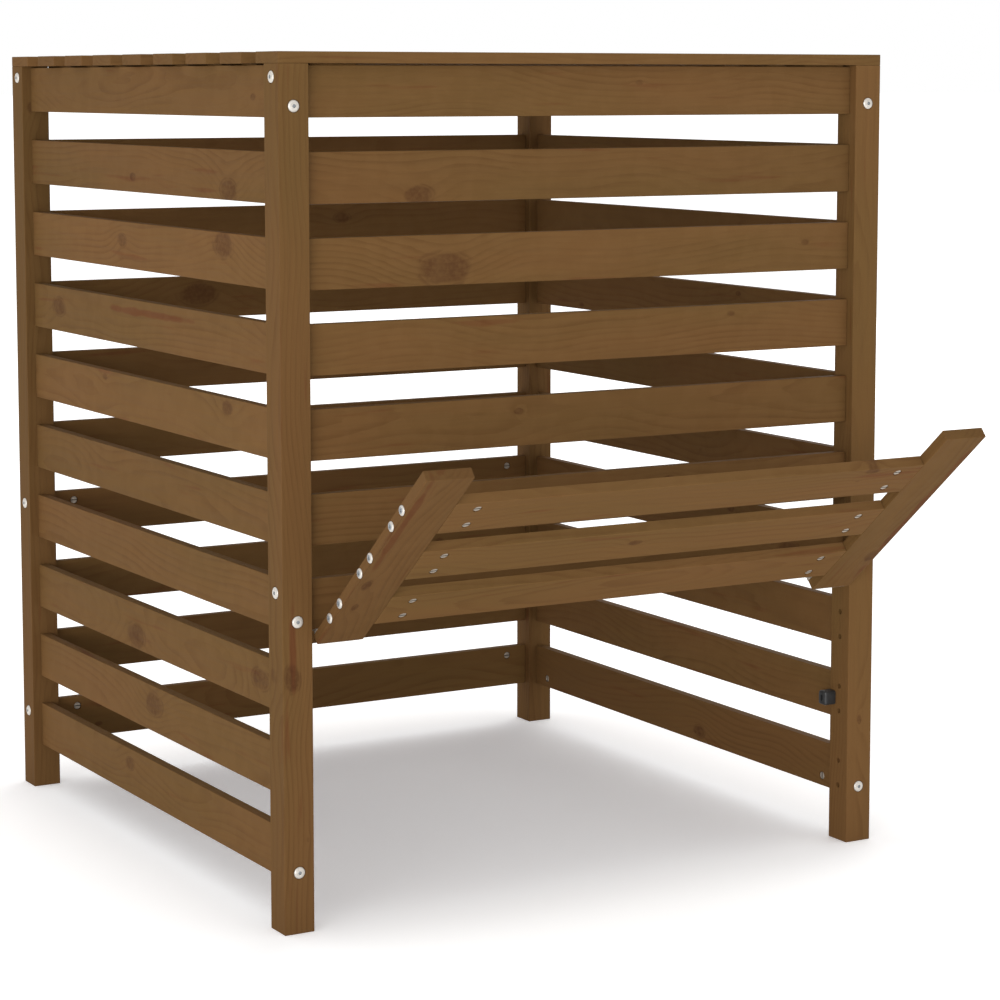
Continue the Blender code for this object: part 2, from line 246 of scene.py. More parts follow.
def edge_wear():
    """Where hands and weather have worn a board's edges, and where its ends begin."""
    sizes = (("Wear Width", "Float", 0.0025), ("End Depth", "Float", 0.0012))
    tree, given, out = open_tree("edge_wear", "ShaderNodeTree", sizes, (("Wear", "Float"), ("End", "Float")))
    rims = split(tree, attribute(tree, "rims"))
    rough = noise(tree, attribute(tree, "board"), 45.0, 3.0)["Fac"]
    near = calc(tree, "SUBTRACT", 1.0, calc(tree, "DIVIDE", rims[1], given["Wear Width"]), clamp=True)
    tree.links.new(calc(tree, "MULTIPLY", near, ramp(tree, rough, 0.40, 0.62)), out["Wear"])
    past = calc(tree, "SUBTRACT", 1.0, calc(tree, "DIVIDE", rims[0], given["End Depth"]), clamp=True)
    tree.links.new(ramp(tree, past, 0.2, 0.9), out["End"])
    return tree


figure_group = pine_figure()
wear_group = edge_wear()


def stained_pine(name, olive, russet):
    """Pine under a thin honey-brown stain, between two shades."""
    late_wood = (0.090, 0.037, 0.012)
    resin_wood = (0.128, 0.042, 0.016)
    knot_wood = (0.072, 0.028, 0.0120)
    end_wood = (0.088, 0.045, 0.016)
    worn_wood = (0.230, 0.130, 0.052)
    material, tree, shader = new_material(name)
    figure = add(tree, "ShaderNodeGroup", node_tree=figure_group)
    wear = add(tree, "ShaderNodeGroup", node_tree=wear_group)
    layers = (
        (figure.outputs["Ring"], 0.28, late_wood),
        (figure.outputs["Resin"], 0.74, resin_wood),
        (figure.outputs["Knot"], 0.70, knot_wood),
        (wear.outputs["End"], 0.22, end_wood),
        (wear.outputs["Wear"], 0.12, worn_wood),
    )
    colour = blend(tree, ramp(tree, figure.outputs["Cloud"], 0.28, 0.72), olive, russet)
    for mask, strength, wood in layers:
        colour = blend(tree, calc(tree, "MULTIPLY", mask, strength), colour, wood)
    shade = calc(tree, "MULTIPLY_ADD", figure.outputs["Fibre"], 0.22, 0.89)
    # Each board's tone scales its colour; on the flap slats this is painted light.
    shade = calc(tree, "MULTIPLY", shade, split(tree, attribute(tree, "rims"))[2])
    shaded = add(tree, "ShaderNodeVectorMath", {0: colour, "Scale": shade}, operation="SCALE")
    tree.links.new(shaded.outputs["Vector"], shader.inputs["Base Color"])
    tree.links.new(ramp(tree, figure.outputs["Fibre"], 0.25, 0.75, 0.66, 0.80), shader.inputs["Roughness"])
    relief(tree, shader, figure.outputs["Height"], strength=0.35, depth=0.0004)
    shader.inputs["Specular IOR Level"].default_value = 0.06
    return material


pine = stained_pine("stained_pine", olive=(0.150, 0.0815, 0.0275), russet=(0.168, 0.0840, 0.0298))


# Four posts, square timber with its edges taken off by the plane. Each is drilled for
# the bolts and dowels of both its panels. The front posts keep the open holes of the
# three rows that the flap stands in for. The shut lid rests on all four.

edge_radius = 0.0007
arc_steps = 3


def named(tree, name, kind="FLOAT_VECTOR"):
    """A named attribute of what a geometry tree works on."""
    return add(tree, "GeometryNodeInputNamedAttribute", {"Name": name}, data_type=kind).outputs[0]


def keeping(tree, geometry, name, value, kind="FLOAT_VECTOR", domain="POINT"):
    """Geometry that keeps a value as a named attribute."""
    inputs = {"Geometry": geometry, "Name": name, "Value": value}
    return add(tree, "GeometryNodeStoreNamedAttribute", inputs, data_type=kind, domain=domain).outputs[0]


def copied(tree, points, part, turn):
    """A plain mesh with a part on every point."""
    inputs = {"Points": points, "Instance": part, "Rotation": turn}
    placed = add(tree, "GeometryNodeInstanceOnPoints", inputs).outputs[0]
    return add(tree, "GeometryNodeRealizeInstances", {0: placed}).outputs[0]


def board_tree():
    """Planed boards about points: a box with rounded edges on each, turned and drilled.
    A stick of the drilling is the middle line of a hole."""
    sizes = (
        ("Boards", "Geometry", None),
        ("Size", "Vector", None),
        ("Edge Radius", "Float", edge_radius),
        ("Turn", "Rotation", None),
        ("Drilling", "Object", None),
        ("Hole Sides", "Int", 20),
        ("Wood", "Material", None),
    )
    tree, given, out = open_tree("planed_boards", "GeometryNodeTree", sizes, (("Boards", "Geometry"),))
    rows = 2 * arc_steps
    counts = {f"Vertices {axis}": rows for axis in "XYZ"}
    cube = add(tree, "GeometryNodeMeshCube", {"Size": (1.0, 1.0, 1.0), **counts}).outputs["Mesh"]
    position = add(tree, "GeometryNodeInputPosition").outputs[0]
    side = vector_calc(tree, "SIGN", position)
    inner = 0.5 / (rows - 1)
    past = vector_calc(tree, "SUBTRACT", vector_calc(tree, "ABSOLUTE", position), (inner,) * 3)
    arc = vector_calc(tree, "TANGENT", stretched(tree, past, (pi / 4 / (0.5 - inner),) * 3))
    outward = vector_calc(tree, "NORMALIZE", vector_calc(tree, "MULTIPLY", arc, side))
    half = stretched(tree, given["Size"], (0.5, 0.5, 0.5))
    radius = merge(tree, given["Edge Radius"], given["Edge Radius"], given["Edge Radius"])
    core = vector_calc(tree, "MULTIPLY", vector_calc(tree, "SUBTRACT", half, radius), side)
    surface = vector_calc(tree, "ADD", core, vector_calc(tree, "MULTIPLY", outward, radius))
    board = add(tree, "GeometryNodeSetPosition", {"Geometry": cube, "Position": surface}).outputs[0]
    uncut = copied(tree, given["Boards"], board, given["Turn"])

    sticks = add(tree, "GeometryNodeObjectInfo", {"Object": given["Drilling"]}).outputs["Geometry"]
    lines = add(tree, "GeometryNodeMeshToCurve", {0: sticks}).outputs[0]
    circle = {"Resolution": given["Hole Sides"], "Radius": 1.0}
    drill = add(tree, "GeometryNodeCurvePrimitiveCircle", circle).outputs[0]
    bore = named(tree, "bore", "FLOAT")
    sweep = {"Curve": lines, "Profile Curve": drill, "Scale": bore, "Fill Caps": True}
    cutters = add(tree, "GeometryNodeCurveToMesh", sweep).outputs[0]
    pair = {"Mesh 1": uncut, "Mesh 2": cutters}
    drilled = add(tree, "GeometryNodeMeshBoolean", pair, operation="DIFFERENCE", solver="EXACT")
    drilled.inputs["Self Intersection"].default_value = True

    places = {0: given["Boards"], 1: position}
    nearest = add(tree, "GeometryNodeSampleNearest", places, domain="POINT").outputs[0]
    back = add(tree, "FunctionNodeInvertRotation", {0: given["Turn"]}).outputs[0]

    def of_board(value):
        """A value at the point of the board that a place belongs to."""
        inputs = {"Geometry": given["Boards"], "Index": nearest, "Value": value}
        return add(tree, "GeometryNodeSampleIndex", inputs, data_type="FLOAT_VECTOR").outputs[0]

    def unturned(vector):
        return add(tree, "FunctionNodeRotateVector", {"Vector": vector, "Rotation": back}).outputs[0]

    own = unturned(vector_calc(tree, "SUBTRACT", position, of_board(position)))
    inside = split(tree, vector_calc(tree, "SUBTRACT", half, vector_calc(tree, "ABSOLUTE", own)))
    shade = split(tree, of_board(named(tree, "tone")))[0]
    kept = {"board": own}
    for name in ("trunk", "knot", "second_knot", "streak"):
        kept[name] = of_board(named(tree, name))
    kept["rims"] = merge(tree, inside[0], calc(tree, "MAXIMUM", inside[1], inside[2]), shade)
    whole = drilled.outputs[0]
    for name, value in kept.items():
        whole = keeping(tree, whole, name, value)

    normal = add(tree, "GeometryNodeInputNormal").outputs[0]
    facing = split(tree, vector_calc(tree, "ABSOLUTE", unturned(normal)))
    steepest = calc(tree, "MAXIMUM", facing[0], calc(tree, "MAXIMUM", facing[1], facing[2]))
    square_on = 0.9995
    compared = {"A": steepest, "B": square_on}
    rounded = add(tree, "FunctionNodeCompare", compared, operation="LESS_THAN").outputs[0]
    shaded = add(tree, "GeometryNodeSetShadeSmooth", {"Geometry": whole, "Shade Smooth": rounded}).outputs[0]
    painted = add(tree, "GeometryNodeSetMaterial", {"Geometry": shaded, "Material": given["Wood"]})
    tree.links.new(painted.outputs[0], out["Boards"])
    return tree


planed_boards = board_tree()


def helper(name, points, edges=(), **attributes):
    """An object of bare points or edges, with attributes on its points, for a tree to read."""
    mesh = bpy.data.meshes.new(name)
    mesh.from_pydata(points, edges, ())
    for label, values in attributes.items():
        vectors = bool(values) and hasattr(values[0], "__len__")
        made = mesh.attributes.new(label, "FLOAT_VECTOR" if vectors else "FLOAT", "POINT")
        flat = [part for value in values for part in value] if vectors else values
        made.data.foreach_set("vector" if vectors else "value", flat)
    item = bpy.data.objects.new(name, mesh)
    bpy.context.scene.collection.objects.link(item)
    return item


def grown(name, source, tree, values):
    """A plain mesh object that a geometry tree makes from a helper, which is then removed."""
    modifier = source.modifiers.new(tree.name, "NODES")
    modifier.node_group = tree
    for socket in tree.interface.items_tree:
        if socket.in_out == "INPUT" and socket.name in values:
            modifier[socket.identifier] = values[socket.name]
    source.update_tag()
    evaluated = source.evaluated_get(bpy.context.evaluated_depsgraph_get())
    item = bpy.data.objects.new(name, bpy.data.meshes.new_from_object(evaluated))
    item.data.name = name
    source.modifiers.clear()
    bpy.data.objects.remove(source)
    bpy.context.scene.collection.objects.link(item)
    return item


def drilling(holes):
    """The middle lines of holes, each given by its mouth, its bottom and its diameter."""
    points = [end for mouth, bottom, _ in holes for end in (mouth, bottom)]
    edges = [(2 * number, 2 * number + 1) for number in range(len(holes))]
    radii = [hole[2] / 2 for hole in holes for end in ("mouth", "bottom")]
    return helper("drilling", points, edges, bore=radii)


trunk_starts = (1, 40)
pith_depths = (0.03, 0.07)
pith_sides = (-0.06, 0.06)
knot_reach = 0.45
knot_radii = (-0.008, 0.009)
board_tones = (0.95, 1.05)
no_mark = (0.0, 0.0, 0.0)


def boards(name, body, centres, size, along, inward, holes=(), knots=None, tones_and_painted_light=None, streaks=None):
    """Planed boards of one size about their centres, each from a trunk of its own. A knot
    is its place along and across the board, and its radius. A streak is its place and half
    its length. A tone is a board's shade, and on the flap slats it is painted light."""
    chance = random.Random(name)
    trunks, first, second, shades = [], [], [], []
    for number in range(len(centres)):
        trunks.append([chance.uniform(*reach) for reach in (trunk_starts, pith_depths, pith_sides)])
        found = []
        for _ in range(2):
            place = [chance.uniform(-knot_reach, knot_reach) * size[axis] for axis in (0, 2)]
            found.append((*place, max(0.0, chance.uniform(*knot_radii))))
        found = [*(knots or {}).get(number, ()), *found]
        first.append(found[0])
        second.append(found[1])
        shades.append(((tones_and_painted_light or {}).get(number, chance.uniform(*board_tones)), 0.0, 0.0))
    pitch = [(streaks or {}).get(number, no_mark) for number in range(len(centres))]
    marks = {"trunk": trunks, "knot": first, "second_knot": second, "streak": pitch, "tone": shades}
    source = helper(f"{name}_places", centres, **marks)
    cut = drilling(holes)
    along, inward = Vector(along), Vector(inward)
    turn = Matrix((along, inward, along.cross(inward))).transposed().to_euler()
    values = {"Size": size, "Turn": tuple(turn), "Drilling": cut, "Wood": pine}
    made = grown(name, source, planed_boards, values)
    bpy.data.objects.remove(cut)
    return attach(made, body)


row_count = 10
front_rows = 7
bolt_hole = 0.0066
bolt_seat_diameter = 0.0154
bolt_seat_depth = 0.0007
dowel_hole = 0.0066
dowel_hole_depth = 0.0132
drill_past = 0.004
half_spacing = 0.016
bolted_rows = (1, 7, 10)

lid_seat_rise = 0.00028
post_low, post_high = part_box("front_left_post")
post_side = post_high.x - post_low.x
post_height = post_high.z - post_low.z + lid_seat_rise


def middle_of(node):
    low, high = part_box(node)
    return (low + high) / 2


post_centres = {}
for end in ("front", "rear"):
    for side in ("left", "right"):
        post_centres[end, side] = middle_of(f"{end}_{side}_post") + Vector((0, 0, lid_seat_rise / 2))
row_heights = []
for row in range(1, row_count + 1):
    low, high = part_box(f"back_slat_{row}")
    row_heights.append((low.z + high.z) / 2)
post_holes = []
for (end, side), centre in post_centres.items():
    to_side = Vector((1 if side == "left" else -1, 0, 0))
    to_end = Vector((0, 1 if end == "front" else -1, 0))
    for way, bolt_side in ((to_side, 1), (to_end, -1)):
        for row, height in enumerate(row_heights, 1):
            empty = end == "front" and way.x != 0 and row > front_rows
            for place_side in (-1, 1):
                at = Vector((centre.x, centre.y, height + place_side * half_spacing))
                mouth = at + way * (post_side / 2 + drill_past)
                if row in bolted_rows and place_side == bolt_side and not empty:
                    outer = at - way * (post_side / 2 + drill_past)
                    seat = at - way * (post_side / 2 - bolt_seat_depth)
                    post_holes.append((mouth, outer, bolt_hole))
                    post_holes.append((outer, seat, bolt_seat_diameter))
                else:
                    post_holes.append((mouth, at + way * (post_side / 2 - dowel_hole_depth), dowel_hole))

post_knots = {0: ((-0.196, 0.0070, 0.010),), 1: ((-0.334, 0.0, 0.0035), no_mark)}
post_tones = {0: 0.93, 2: 0.86, 3: 0.90}
post_streaks = {0: (-0.170, 0.0060, 0.060)}
posts = boards(
    "square_posts",
    "frame",
    list(post_centres.values()),
    (post_height, post_side, post_side),
    along=(0, 0, 1),
    inward=(0, 1, 0),
    holes=post_holes,
    knots=post_knots,
    tones_and_painted_light=post_tones,
    streaks=post_streaks,
)
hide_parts(*(f"{end}_{side}_post" for end, side in post_centres))


# The slats of the four walls, one stock size, let in flush between the posts. The rows
# with bolts carry the cross bores of their barrel nuts on the inner face.

panel_gap = 0.0003
nut_setback = 0.0318
nut_bore = 0.0106
wall_behind_nut = 0.0015
slat_low, slat_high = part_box("front_slat_2")
slat_thickness = slat_high.y - slat_low.y
slat_width = slat_high.z - slat_low.z
side_length = post_centres["front", "right"].x - post_centres["front", "left"].x - post_side - 2 * panel_gap


def bolt_bores(centre, along, inward, length, bolt_side):
    """The bolt holes and nut bores at both ends of a slat."""
    holes = []
    for end in (-1, 1):
        mouth = centre + along * end * (length / 2 + drill_past)
        nut = centre + along * end * (length / 2 + panel_gap - nut_setback)
        rise = Vector((0, 0, bolt_side * half_spacing))
        holes.append((mouth + rise, nut + rise, bolt_hole))
        deep = nut + rise + inward * (wall_behind_nut - slat_thickness / 2)
        holes.append((nut + rise + inward * (slat_thickness / 2 + drill_past), deep, nut_bore))
    return holes


walls = {
    "front": (front_rows, (1, 0, 0), (0, 1, 0), 1),
    "back": (row_count, (-1, 0, 0), (0, -1, 0), 1),
    "left": (row_count, (0, -1, 0), (1, 0, 0), -1),
    "right": (row_count, (0, 1, 0), (-1, 0, 0), -1),
}
wall_knots = {
    "front": {
        0: ((0.065, 0.010, 0.003), no_mark),
        1: ((-0.232, -0.021, 0.011), no_mark),
        2: ((-0.198, -0.010, 0.019), (0.31, 0.006, 0.003)),
        3: ((0.20, 0.018, 0.003), no_mark),
        4: ((-0.10, 0.012, 0.004), no_mark),
        5: ((0.11, 0.012, 0.006), no_mark),
    },
    "back": {3: ((0.155, 0.005, 0.016),)},
    "left": {
        1: ((0.255, -0.018, 0.013), (-0.03, -0.010, 0.005)),
        2: ((0.237, 0.016, 0.015), (-0.065, 0.006, 0.008)),
        3: ((-0.285, 0.003, 0.012), (0.06, 0.014, 0.0)),
        7: ((-0.039, -0.012, 0.016), (0.329, 0.0, 0.013)),
        8: ((0.015, 0.006, 0.014), no_mark),
        9: ((-0.065, 0.010, 0.008), no_mark),
    },
}
wall_tones = {"front": {1: 0.93, 2: 1.0}, "left": {0: 0.97, 1: 0.95, 7: 1.0}}
wall_streaks = {"left": {3: (0.016, 0.0145, 0.150)}}
for panel, (rows, along, inward, bolt_side) in walls.items():
    centres = [middle_of(f"{panel}_slat_{row}") for row in range(1, rows + 1)]
    holes = []
    for row, centre in enumerate(centres, 1):
        if row in bolted_rows:
            holes += bolt_bores(centre, Vector(along), Vector(inward), side_length, bolt_side)
    size = (side_length, slat_thickness, slat_width)
    marks = (wall_knots.get(panel), wall_tones.get(panel), wall_streaks.get(panel))
    slats = boards(f"{panel}_wall_slats", "frame", centres, size, along, inward, holes, *marks)
    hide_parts(*(f"{panel}_slat_{row}" for row in range(1, rows + 1)))


# Bolts with low domed heads and hexagon sockets, in bright zinc. They run through the
# posts, and through the flap's uprights, into barrel nuts in the slats.


def zinc(name, colour, roughness, painted_recess_shade_colour):
    """Zinc plating, faintly mottled, with painted shade in its recesses: a darker colour on their marked
    faces.
    """
    material, tree, shader = new_material(name)
    own = add(tree, "ShaderNodeTexCoord").outputs["Object"]
    cloud = noise(tree, own, 420.0, 3.0)["Fac"]
    dull = tuple(part * 0.86 for part in colour)
    plated = blend(tree, ramp(tree, cloud, 0.35, 0.70), colour, dull)
    # Painted shade: the marked faces of a socket, slot or crossed recess take the recess colour.
    recess = add(tree, "ShaderNodeAttribute", attribute_name="recess").outputs["Fac"]
    tree.links.new(blend(tree, recess, plated, painted_recess_shade_colour), shader.inputs["Base Color"])
    tree.links.new(ramp(tree, cloud, 0.30, 0.75, roughness, roughness + 0.14), shader.inputs["Roughness"])
    scratches = noise(tree, stretched(tree, own, (1.0, 1.0, 6.0)), 900.0)["Fac"]
    relief(tree, shader, scratches, strength=0.12, depth=0.0001)
    shader.inputs["Metallic"].default_value = 0.6
    return material


# The recess colours are painted shade: dark grey in sockets and crossed recesses, near black in the nuts'
# slots.
bright_zinc = zinc("bright_zinc", (0.78, 0.74, 0.68), roughness=0.42, painted_recess_shade_colour=(0.40, 0.42, 0.44))
plain_zinc = zinc("plain_zinc", (0.50, 0.44, 0.37), roughness=0.45, painted_recess_shade_colour=(0.10, 0.09, 0.08))


def on_points(tree, given, part, recess, out):
    """The last steps of a fastener's tree: one on each point, along the point's axis.
    The faces of its recess are marked for the painted shade of the plating."""
    crease = radians(32)
    part = keeping(tree, part, "recess", recess, "FLOAT", "FACE")
    angle = add(tree, "GeometryNodeInputMeshEdgeAngle").outputs["Unsigned Angle"]
    sharp = add(tree, "FunctionNodeCompare", {"A": angle, "B": crease}, operation="GREATER_THAN").outputs[0]
    part = add(tree, "GeometryNodeSetShadeSmooth", {"Geometry": part, "Shade Smooth": True}).outputs[0]
    edges = {"Geometry": part, "Selection": sharp, "Shade Smooth": False}
    part = add(tree, "GeometryNodeSetShadeSmooth", edges, domain="EDGE").outputs[0]
    axis = {"Vector": named(tree, "axis")}
    turned = add(tree, "FunctionNodeAlignRotationToVector", axis, axis="Z").outputs[0]
    real = copied(tree, given["Places"], part, turned)
    painted = add(tree, "GeometryNodeSetMaterial", {"Geometry": real, "Material": given["Metal"]})
    tree.links.new(painted.outputs[0], out[0])


def rod(tree, radius, start, end, sides, steps=1):
    """A cylinder along Z between two heights, which may be sockets."""
    depth = calc(tree, "SUBTRACT", end, start)
    middle = calc(tree, "MULTIPLY", calc(tree, "ADD", end, start), 0.5)
    inputs = {"Vertices": sides, "Side Segments": steps, "Radius": radius, "Depth": depth}
    mesh = add(tree, "GeometryNodeMeshCylinder", inputs).outputs["Mesh"]
    moved = {"Geometry": mesh, "Translation": merge(tree, 0.0, 0.0, middle)}
    return add(tree, "GeometryNodeTransform", moved).outputs[0]


def drawn(tree, part, at, width, height=1.0):
    """A part with its places drawn in sideways by a width, and along Z by a height."""
    shaped = vector_calc(tree, "MULTIPLY", at, merge(tree, width, width, height))
    return add(tree, "GeometryNodeSetPosition", {"Geometry": part, "Position": shaped}).outputs[0]


def joined(tree, first, second, operation):
    made = add(tree, "GeometryNodeMeshBoolean", operation=operation, solver="EXACT")
    if operation == "DIFFERENCE":
        tree.links.new(first, made.inputs["Mesh 1"])
    else:
        tree.links.new(first, made.inputs["Mesh 2"])
    tree.links.new(second, made.inputs["Mesh 2"])
    return made.outputs[0]


def inside_recess(tree, reach, bottom):
    """1 on the faces that lie within a reach of the middle line and over a bottom."""
    margin = 0.00002
    at = add(tree, "GeometryNodeInputPosition").outputs[0]
    sideways = vector_calc(tree, "LENGTH", stretched(tree, at, (1.0, 1.0, 0.0)))
    over = calc(tree, "GREATER_THAN", split(tree, at)[2], calc(tree, "SUBTRACT", bottom, margin))
    return calc(tree, "MULTIPLY", calc(tree, "LESS_THAN", sideways, reach), over)


def bolt_tree():
    """A low head over its seat at Z = 0, with a hexagon socket, and its shank below."""
    dome_fall = 0.34
    foot_fall = 0.06
    foot_height = 0.1
    seat_overlap = 0.0003
    socket_past_top = 0.001
    sizes = (
        ("Places", "Geometry", None),
        ("Head Diameter", "Float", 0.0137),
        ("Head Height", "Float", 0.0021),
        ("Socket Width", "Float", 0.0040),
        ("Socket Depth", "Float", 0.0017),
        ("Shank Diameter", "Float", 0.006),
        ("Shank Length", "Float", 0.05),
        ("Metal", "Material", None),
    )
    tree, given, out = open_tree("domed_bolts", "GeometryNodeTree", sizes, (("Bolts", "Geometry"),))
    radius = calc(tree, "MULTIPLY", given["Head Diameter"], 0.5)
    head = rod(tree, radius, 0.0, given["Head Height"], sides=32, steps=5)
    at = add(tree, "GeometryNodeInputPosition").outputs[0]
    rise = calc(tree, "DIVIDE", split(tree, at)[2], given["Head Height"])
    dome = calc(tree, "MULTIPLY_ADD", calc(tree, "POWER", rise, 3.0), -dome_fall, 1.0)
    narrow = calc(tree, "MULTIPLY_ADD", calc(tree, "LESS_THAN", rise, foot_height), -foot_fall, dome)
    head = drawn(tree, head, at, narrow)
    shank_radius = calc(tree, "MULTIPLY", given["Shank Diameter"], 0.5)
    tip = calc(tree, "MULTIPLY", given["Shank Length"], -1.0)
    shank = rod(tree, shank_radius, tip, seat_overlap, sides=14)
    whole = joined(tree, head, shank, "UNION")
    bottom = calc(tree, "SUBTRACT", given["Head Height"], given["Socket Depth"])
    top = calc(tree, "ADD", given["Head Height"], socket_past_top)
    corner = calc(tree, "DIVIDE", given["Socket Width"], sqrt(3))
    socket = rod(tree, corner, bottom, top, sides=6)
    # The socket's faces are marked for painted shade.
    recess = inside_recess(tree, calc(tree, "MULTIPLY", corner, 0.99), bottom)
    on_points(tree, given, joined(tree, whole, socket, "DIFFERENCE"), recess, out)
    return tree


domed_bolts = bolt_tree()
head_clearance = 0.0001 - bolt_seat_depth
bolt_past_nut = 0.004


def fasteners(name, tree, metal, places, axes, body, sizes=None):
    """Fasteners of one kind, seated at their places along their axes."""
    source = helper(f"{name}_places", places, axis=axes)
    made = grown(name, source, tree, {"Metal": metal, **(sizes or {})})
    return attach(made, body)


bolt_places = []
bolt_axes = []
frame_nut_places = []
frame_nut_axes = []
for panel, (rows, along, inward, bolt_side) in walls.items():
    for row in bolted_rows:
        if row > rows:
            continue
        middle = middle_of(f"{panel}_slat_{row}") + Vector((0, 0, bolt_side * half_spacing))
        for end in (-1, 1):
            way = Vector(along) * end
            bolt_places.append(middle + way * (side_length / 2 + panel_gap + post_side + head_clearance))
            bolt_axes.append(way)
            frame_nut_places.append(middle + way * (side_length / 2 + panel_gap - nut_setback))
            frame_nut_axes.append(Vector(inward))
bolt_sizes = {"Shank Length": post_side + nut_setback + bolt_past_nut}
fasteners("frame_bolts", domed_bolts, bright_zinc, bolt_places, bolt_axes, "frame", bolt_sizes)


# Barrel nuts, round steel pins lying across the slats with a thread through their
# middle. Their slotted ends show in the inner faces, a hair under the wood.

nut_below_face = 0.0006
nut_clearance = 0.0003


def nut_tree():
    """A round pin along Z, its outer end at Z = 0 and slotted for a screwdriver."""
    end_fall = 0.10
    end_depth = 0.1
    sizes = (
        ("Places", "Geometry", None),
        ("Diameter", "Float", 0.0094),
        ("Length", "Float", 0.0106),
        ("Slot Width", "Float", 0.0014),
        ("Slot Depth", "Float", 0.0016),
        ("Metal", "Material", None),
    )
    tree, given, out = open_tree("barrel_nuts", "GeometryNodeTree", sizes, (("Nuts", "Geometry"),))
    radius = calc(tree, "MULTIPLY", given["Diameter"], 0.5)
    bottom = calc(tree, "MULTIPLY", given["Length"], -1.0)
    pin = rod(tree, radius, bottom, 0.0, sides=20, steps=3)
    at = add(tree, "GeometryNodeInputPosition").outputs[0]
    down = calc(tree, "DIVIDE", split(tree, at)[2], bottom)
    narrow = calc(tree, "MULTIPLY_ADD", calc(tree, "LESS_THAN", down, end_depth), -end_fall, 1.0)
    pin = drawn(tree, pin, at, narrow, calc(tree, "POWER", down, 2.0))
    slot_length = calc(tree, "MULTIPLY", given["Diameter"], 1.2)
    slot_height = calc(tree, "MULTIPLY", given["Slot Depth"], 2.0)
    slot_size = merge(tree, slot_length, given["Slot Width"], slot_height)
    slot = add(tree, "GeometryNodeMeshCube", {"Size": slot_size}).outputs["Mesh"]
    # The slot's faces are marked for painted shade.
    away = split(tree, vector_calc(tree, "ABSOLUTE", at))
    in_slot = calc(tree, "LESS_THAN", away[1], calc(tree, "MULTIPLY", given["Slot Width"], 0.51))
    near_top = calc(tree, "LESS_THAN", away[2], calc(tree, "MULTIPLY", given["Slot Depth"], 1.02))
    recess = calc(tree, "MULTIPLY", in_slot, near_top)
    on_points(tree, given, joined(tree, pin, slot, "DIFFERENCE"), recess, out)
    return tree


barrel_nuts = nut_tree()
nut_sizes = {"Length": slat_thickness - wall_behind_nut - nut_below_face - nut_clearance}


def nuts(name, places, axes, body):
    """Barrel nuts whose middle lines pass through places in the middle of their slats."""
    tops = [place + axis * (slat_thickness / 2 - nut_below_face) for place, axis in zip(places, axes)]
    return fasteners(name, barrel_nuts, plain_zinc, tops, axes, body, nut_sizes)


nuts("frame_barrel_nuts", frame_nut_places, frame_nut_axes, "frame")


# The flap that closes the emptying opening: three slats bolted between two uprights.
# It hangs on its hinges at the top, raised to an obtuse angle as a shovel needs it.


def joint_place(body):
    joint = next(joint for joint in frame["joints"] if joint["child"] == body)
    return Vector(joint["pos_m"])


flap_open = radians(130)
flap_axis = joint_place("flap")
flap_down = Vector((0, -sin(flap_open), -cos(flap_open)))
flap_inward = Vector((0, cos(flap_open), -sin(flap_open)))
axis_to_face = 0.004
opening_top = row_heights[front_rows - 1] - slat_width / 2
flap_hinge_gap = 0.004
flap_foot_height = 0.0045
upright_top = 0.002
upright_length = opening_top - flap_hinge_gap - flap_foot_height
flap_side_gap = 0.0035
flap_seat_diameter = 0.0127
flap_head_diameter = 0.0118


def on_flap(x, down, inward):
    """A point of the flap from its hinge axis: sideways, down the flap and into it."""
    return Vector((flap_axis.x + x, flap_axis.y, flap_axis.z)) + flap_down * down + flap_inward * inward


flap_middle_depth = axis_to_face + slat_thickness / 2
upright_x = side_length / 2 + panel_gap - flap_side_gap - slat_width / 2
flap_slat_length = 2 * (upright_x - slat_width / 2 - panel_gap)
flap_rows = [flap_axis.z - height for height in row_heights[front_rows:]]
upright_middle = upright_top + upright_length / 2
upright_centres = [on_flap(side * upright_x, upright_middle, flap_middle_depth) for side in (-1, 1)]
flap_centres = [on_flap(0, down, flap_middle_depth) for down in flap_rows]
flap_bolt_places = []
flap_bolt_axes = []
flap_nut_places = []
upright_holes = []
flap_slat_holes = []
for down in flap_rows:
    for rise in (-half_spacing, half_spacing):
        for side in (-1, 1):
            way = Vector((side, 0, 0))
            seat = on_flap(side * (upright_x + slat_width / 2), down + rise, flap_middle_depth)
            inner = on_flap(side * (upright_x - slat_width / 2), down + rise, flap_middle_depth)
            nut = inner - way * nut_setback
            upright_holes.append((seat + way * drill_past, inner - way * drill_past, bolt_hole))
            upright_holes.append((seat + way * drill_past, seat - way * bolt_seat_depth, flap_seat_diameter))
            flap_slat_holes.append((inner + way * drill_past, nut, bolt_hole))
            deep = nut + flap_inward * (wall_behind_nut - slat_thickness / 2)
            flap_slat_holes.append((nut + flap_inward * (slat_thickness / 2 + drill_past), deep, nut_bore))
            flap_bolt_places.append(seat + way * head_clearance)
            flap_bolt_axes.append(way)
            flap_nut_places.append(nut)

upright_knots = {0: ((-0.0435, -0.016, 0.006), (-0.09, -0.012, 0.004)), 1: ((-0.06, 0.024, 0.004),)}
upright_tones = {0: 0.88, 1: 0.98}
upright_streaks = {0: (0.076, -0.0210, 0.095), 1: (0.0, 0.0240, 0.140)}
uprights = boards(
    "flap_uprights",
    "flap",
    upright_centres,
    (upright_length, slat_thickness, slat_width),
    along=flap_down,
    inward=flap_inward,
    holes=upright_holes,
    knots=upright_knots,
    tones_and_painted_light=upright_tones,
    streaks=upright_streaks,
)
flap_knots = {1: ((-0.030, -0.005, 0.005),)}
